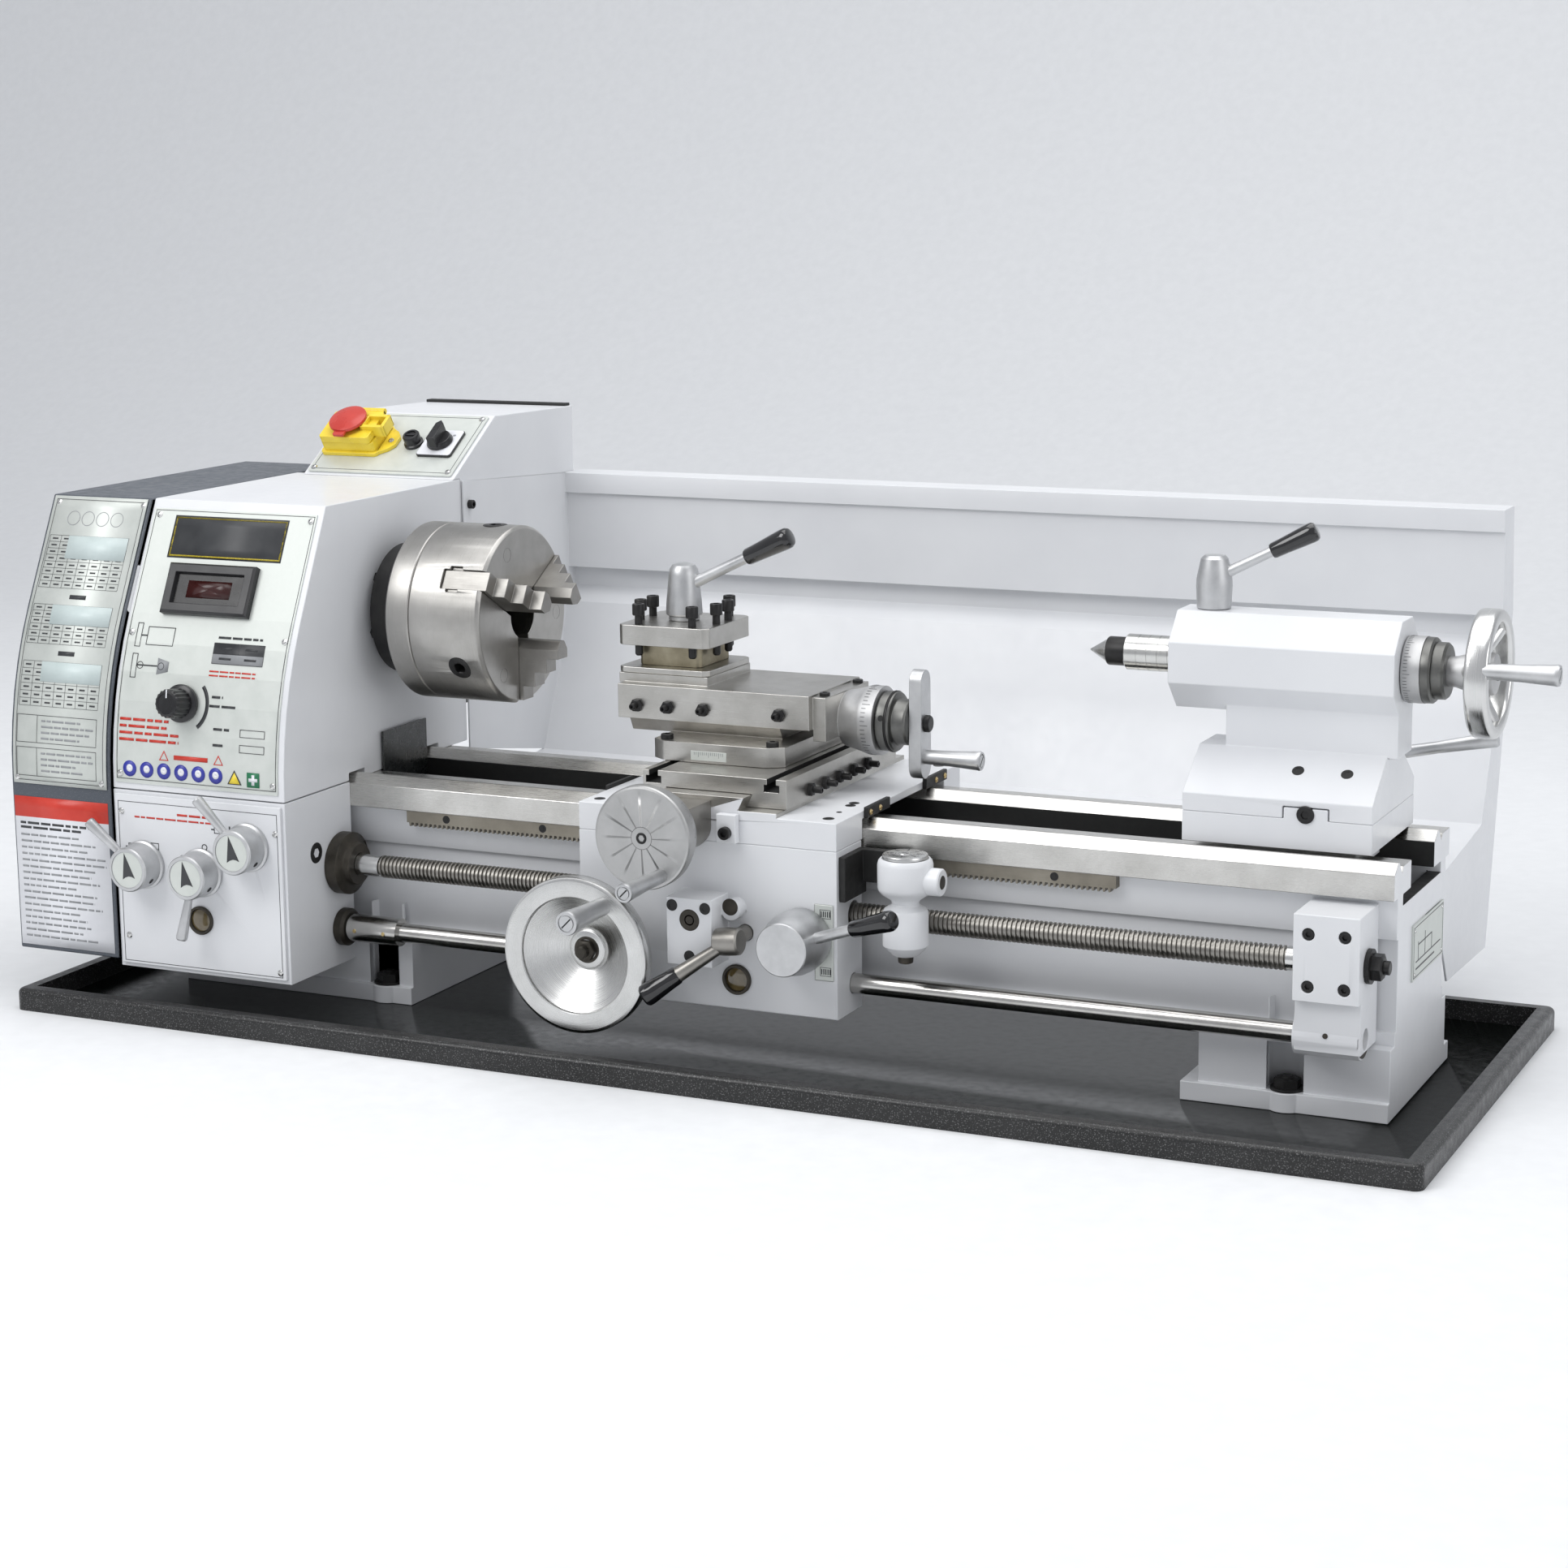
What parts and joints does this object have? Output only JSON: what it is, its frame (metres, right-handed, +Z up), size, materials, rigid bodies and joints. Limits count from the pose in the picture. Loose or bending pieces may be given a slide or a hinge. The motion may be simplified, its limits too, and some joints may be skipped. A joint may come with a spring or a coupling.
{
  "type": "metalworking bench lathe",
  "caption": "Bench metal lathe on a chip tray: headstock with jaw chuck, screw-driven carriage with compound slide and tool post, and a sliding tailstock.",
  "frame": {"origin": "centre of the chip tray's flat bottom face", "axes": "+X from headstock to tailstock along the spindle, +Y to the rear, +Z up"},
  "size_m": [1.3594, 0.625, 0.5206],
  "materials": {
    "white_paint": "satin, light textured",
    "dark_paint": "satin slate",
    "black_paint": "semi-gloss, lightly textured",
    "ground_steel": "ground",
    "turned_steel": "turned, bright",
    "black_oxide": "black oxide",
    "cast_aluminium": "satin",
    "black_plastic": "glossy",
    "yellow_plastic": "matte",
    "red_plastic": "satin",
    "belt_rubber": "matte",
    "label_plate": "matt printed",
    "bronze": "machined"
  },
  "bodies": {
    "frame": {"chip_tray": "black_paint", "bed": "white_paint", "rack": "ground_steel", "headstock": "white_paint", "feed_gearbox": "white_paint", "gear_case_back": "dark_paint", "control_cabinet": "white_paint", "panel_fittings": "yellow_plastic", "chip_guards": "white_paint", "feed_supports": "white_paint", "spindle_bearings": "turned_steel", "motor": "dark_paint", "fasteners": "black_oxide", "label_plates": "label_plate", "drive_belt": "belt_rubber"},
    "spindle": {"spindle": "turned_steel", "spindle_drive": "cast_aluminium", "chuck_back_plate": "turned_steel", "chuck_body": "turned_steel", "chuck_pinions": "black_oxide"},
    "scroll": {"scroll_plate": "turned_steel"},
    "jaw_1": {"chuck_jaw_1": "ground_steel"},
    "jaw_2": {"chuck_jaw_2": "ground_steel"},
    "jaw_3": {"chuck_jaw_3": "ground_steel"},
    "motor_pulley": {"motor_pulley": "cast_aluminium"},
    "first_change_gear": {"first_change_gear": "black_plastic"},
    "second_change_gear": {"second_change_gear": "black_plastic"},
    "input_gear": {"input_gear": "turned_steel"},
    "leadscrew": {"leadscrew": "turned_steel"},
    "feed_rod": {"feed_rod": "turned_steel"},
    "gear_cover": {"gear_cover": "dark_paint"},
    "feed_direction_lever": {"feed_direction_lever": "cast_aluminium"},
    "feed_range_lever": {"feed_range_lever": "cast_aluminium"},
    "feed_select_lever": {"feed_select_lever": "cast_aluminium"},
    "speed_knob": {"speed_knob": "black_plastic"},
    "selector_knob": {"selector_knob": "black_plastic"},
    "switch_flap": {"switch_flap": "yellow_plastic"},
    "stop_button": {"stop_button": "red_plastic"},
    "carriage": {"saddle": "white_paint", "apron": "white_paint"},
    "carriage_handwheel": {"carriage_handwheel": "cast_aluminium"},
    "half_nut_lever": {"half_nut_lever": "cast_aluminium"},
    "upper_half_nut": {"upper_half_nut": "bronze"},
    "lower_half_nut": {"lower_half_nut": "bronze"},
    "feed_lever": {"feed_lever": "turned_steel"},
    "thread_dial": {"thread_dial": "turned_steel"},
    "cross_slide": {"cross_slide": "ground_steel"},
    "cross_handwheel": {"cross_handwheel": "cast_aluminium"},
    "swivel_base": {"swivel_base": "ground_steel"},
    "top_slide": {"top_slide": "ground_steel"},
    "top_slide_crank": {"top_slide_crank": "cast_aluminium"},
    "tool_post": {"tool_post": "ground_steel"},
    "tool_post_lever": {"tool_post_lever": "cast_aluminium"},
    "tailstock": {"tailstock_base": "white_paint", "tailstock_body": "white_paint"},
    "quill": {"quill": "ground_steel", "tailstock_centre": "turned_steel"},
    "tailstock_wheel": {"tailstock_wheel": "cast_aluminium"},
    "quill_lock_lever": {"quill_lock_lever": "cast_aluminium"},
    "tailstock_clamp_lever": {"tailstock_clamp_lever": "turned_steel"}
  },
  "joints": [
    {"name": "spindle_spin", "type": "hinge", "parent": "frame", "child": "spindle", "pos_m": [-0.374, 0, 0.35], "axis": [1, 0, 0], "continuous": true},
    {"name": "scroll_turn", "type": "hinge", "parent": "spindle", "child": "scroll", "pos_m": [-0.374, 0, 0.35], "axis": [1, 0, 0], "range_deg": [-360, 360]},
    {"name": "jaw_1_slide", "type": "slide", "parent": "spindle", "child": "jaw_1", "axis": [0, 0.866, 0.5], "range_m": [-0.009, 0.009]},
    {"name": "jaw_2_slide", "type": "slide", "parent": "spindle", "child": "jaw_2", "axis": [0, -0.866, 0.5], "range_m": [-0.009, 0.009]},
    {"name": "jaw_3_slide", "type": "slide", "parent": "spindle", "child": "jaw_3", "axis": [0, 0, -1], "range_m": [-0.009, 0.009]},
    {"name": "motor_turn", "type": "hinge", "parent": "frame", "child": "motor_pulley", "pos_m": [-0.374, 0.163, 0.276], "axis": [1, 0, 0], "continuous": true},
    {"name": "first_gear_turn", "type": "hinge", "parent": "frame", "child": "first_change_gear", "pos_m": [-0.374, -0.03968, 0.28636], "axis": [1, 0, 0], "continuous": true},
    {"name": "second_gear_turn", "type": "hinge", "parent": "frame", "child": "second_change_gear", "pos_m": [-0.374, -0.08107, 0.19974], "axis": [1, 0, 0], "continuous": true},
    {"name": "input_gear_turn", "type": "hinge", "parent": "frame", "child": "input_gear", "pos_m": [-0.374, -0.145, 0.15], "axis": [1, 0, 0], "continuous": true},
    {"name": "leadscrew_turn", "type": "hinge", "parent": "frame", "child": "leadscrew", "pos_m": [-0.374, -0.109, 0.133], "axis": [1, 0, 0], "continuous": true},
    {"name": "feed_rod_turn", "type": "hinge", "parent": "frame", "child": "feed_rod", "pos_m": [-0.374, -0.11, 0.074], "axis": [1, 0, 0], "continuous": true},
    {"name": "gear_cover_swing", "type": "hinge", "parent": "frame", "child": "gear_cover", "pos_m": [-0.5624, 0.194, 0.21], "axis": [0, 0, -1], "range_deg": [0, 95]},
    {"name": "feed_direction_lever_turn", "type": "hinge", "parent": "frame", "child": "feed_direction_lever", "pos_m": [-0.524, -0.195, 0.137], "axis": [0, -1, 0], "range_deg": [-90, 0]},
    {"name": "feed_range_lever_turn", "type": "hinge", "parent": "frame", "child": "feed_range_lever", "pos_m": [-0.462, -0.195, 0.135], "axis": [0, -1, 0], "range_deg": [-40, 40]},
    {"name": "feed_select_lever_turn", "type": "hinge", "parent": "frame", "child": "feed_select_lever", "pos_m": [-0.412, -0.195, 0.162], "axis": [0, -1, 0], "range_deg": [-80, 0]},
    {"name": "speed_knob_turn", "type": "hinge", "parent": "frame", "child": "speed_knob", "pos_m": [-0.482, -0.18743, 0.284], "axis": [0, -0.9877, 0.1564], "range_deg": [-140, 140]},
    {"name": "selector_turn", "type": "hinge", "parent": "frame", "child": "selector_knob", "pos_m": [-0.4095, 0.146, 0.482], "axis": [0, -0.55, 0.8352], "range_deg": [-60, 60]},
    {"name": "switch_flap_lift", "type": "hinge", "parent": "frame", "child": "switch_flap", "pos_m": [-0.4995, 0.15571, 0.5127], "axis": [-1, 0, 0], "range_deg": [0, 90]},
    {"name": "stop_button_press", "type": "slide", "parent": "switch_flap", "child": "stop_button", "axis": [0, 0.55, -0.8352], "range_m": [0, 0.004], "stiffness_N_per_m": 600},
    {"name": "carriage_slide", "type": "slide", "parent": "frame", "child": "carriage", "axis": [1, 0, 0], "range_m": [-0.04, 0.12]},
    {"name": "carriage_wheel_turn", "type": "hinge", "parent": "carriage", "child": "carriage_handwheel", "pos_m": [-0.087, 0, 0.097], "axis": [0, 1, 0], "range_deg": [-720.5, 2160.5]},
    {"name": "thread_dial_turn", "type": "hinge", "parent": "carriage", "child": "thread_dial", "pos_m": [0.188, -0.136, 0.21], "axis": [0, 0, 1], "range_deg": [-460, 160]},
    {"name": "half_nut_lever_turn", "type": "hinge", "parent": "carriage", "child": "half_nut_lever", "pos_m": [0.1, 0, 0.118], "axis": [0, 1, 0], "range_deg": [0, 40]},
    {"name": "upper_half_nut_slide", "type": "slide", "parent": "carriage", "child": "upper_half_nut", "axis": [0, 0, -1], "range_m": [0, 0.0056]},
    {"name": "lower_half_nut_slide", "type": "slide", "parent": "carriage", "child": "lower_half_nut", "axis": [0, 0, 1], "range_m": [0, 0.0056]},
    {"name": "feed_lever_turn", "type": "hinge", "parent": "carriage", "child": "feed_lever", "pos_m": [0.046, 0, 0.117], "axis": [0, -1, 0], "range_deg": [0, 40]},
    {"name": "cross_wheel_turn", "type": "hinge", "parent": "carriage", "child": "cross_handwheel", "pos_m": [-0.012, 0, 0.208], "axis": [0, 1, 0], "range_deg": [-2700.5, 5400.5]},
    {"name": "cross_slide_travel", "type": "slide", "parent": "carriage", "child": "cross_slide", "axis": [0, 1, 0], "range_m": [-0.03, 0.06]},
    {"name": "swivel_turn", "type": "hinge", "parent": "cross_slide", "child": "swivel_base", "pos_m": [-0.008, 0, 0.21], "axis": [0, 0, 1], "range_deg": [-45, 45]},
    {"name": "top_slide_travel", "type": "slide", "parent": "swivel_base", "child": "top_slide", "axis": [-1, 0, 0], "range_m": [-0.03, 0.02]},
    {"name": "top_crank_turn", "type": "hinge", "parent": "top_slide", "child": "top_slide_crank", "pos_m": [-0.374, 0, 0.277], "axis": [-1, 0, 0], "range_deg": [-3600.5, 2400.5]},
    {"name": "tool_post_turn", "type": "hinge", "parent": "top_slide", "child": "tool_post", "pos_m": [-0.079, 0, 0.21], "axis": [0, 0, 1], "continuous": true},
    {"name": "tool_post_lever_turn", "type": "hinge", "parent": "top_slide", "child": "tool_post_lever", "pos_m": [-0.079, 0, 0.21], "axis": [0, 0, 1], "range_deg": [-20, 90]},
    {"name": "tailstock_slide", "type": "slide", "parent": "frame", "child": "tailstock", "axis": [1, 0, 0], "range_m": [-0.15, 0.02]},
    {"name": "tailstock_wheel_turn", "type": "hinge", "parent": "tailstock", "child": "tailstock_wheel", "pos_m": [-0.374, 0, 0.35], "axis": [-1, 0, 0], "range_deg": [0, 5400]},
    {"name": "quill_travel", "type": "slide", "parent": "tailstock", "child": "quill", "axis": [-1, 0, 0], "range_m": [0, 0.06]},
    {"name": "quill_lock_turn", "type": "hinge", "parent": "tailstock", "child": "quill_lock_lever", "pos_m": [0.404, 0, 0.21], "axis": [0, 0, 1], "range_deg": [-45, 45]},
    {"name": "tailstock_clamp_turn", "type": "hinge", "parent": "tailstock", "child": "tailstock_clamp_lever", "pos_m": [0.522, 0, 0.262], "axis": [0, -1, 0], "range_deg": [0, 60]}
  ],
  "couplings": [
    {"joint": "jaw_1_slide", "follows": "scroll_turn", "m_per_rad": 0.0012732},
    {"joint": "jaw_2_slide", "follows": "scroll_turn", "m_per_rad": 0.0012732},
    {"joint": "jaw_3_slide", "follows": "scroll_turn", "m_per_rad": 0.0012732},
    {"joint": "motor_turn", "follows": "spindle_spin", "ratio": 2.5},
    {"joint": "first_gear_turn", "follows": "spindle_spin", "ratio": -0.66667},
    {"joint": "second_gear_turn", "follows": "spindle_spin", "ratio": 0.58824},
    {"joint": "input_gear_turn", "follows": "spindle_spin", "ratio": -1},
    {"joint": "leadscrew_turn", "follows": "spindle_spin", "ratio": -0.5},
    {"joint": "feed_rod_turn", "follows": "spindle_spin", "ratio": -0.25},
    {"joint": "carriage_wheel_turn", "follows": "carriage_slide", "rad_per_m": 314.16},
    {"joint": "thread_dial_turn", "follows": "carriage_slide", "rad_per_m": -65.45},
    {"joint": "upper_half_nut_slide", "follows": "half_nut_lever_turn", "m_per_rad": 0.0078782},
    {"joint": "lower_half_nut_slide", "follows": "half_nut_lever_turn", "m_per_rad": 0.0078782},
    {"joint": "cross_wheel_turn", "follows": "cross_slide_travel", "rad_per_m": 1570.8},
    {"joint": "top_crank_turn", "follows": "top_slide_travel", "rad_per_m": 2094.4},
    {"joint": "quill_travel", "follows": "tailstock_wheel_turn", "m_per_rad": 0.00063662}
  ]
}
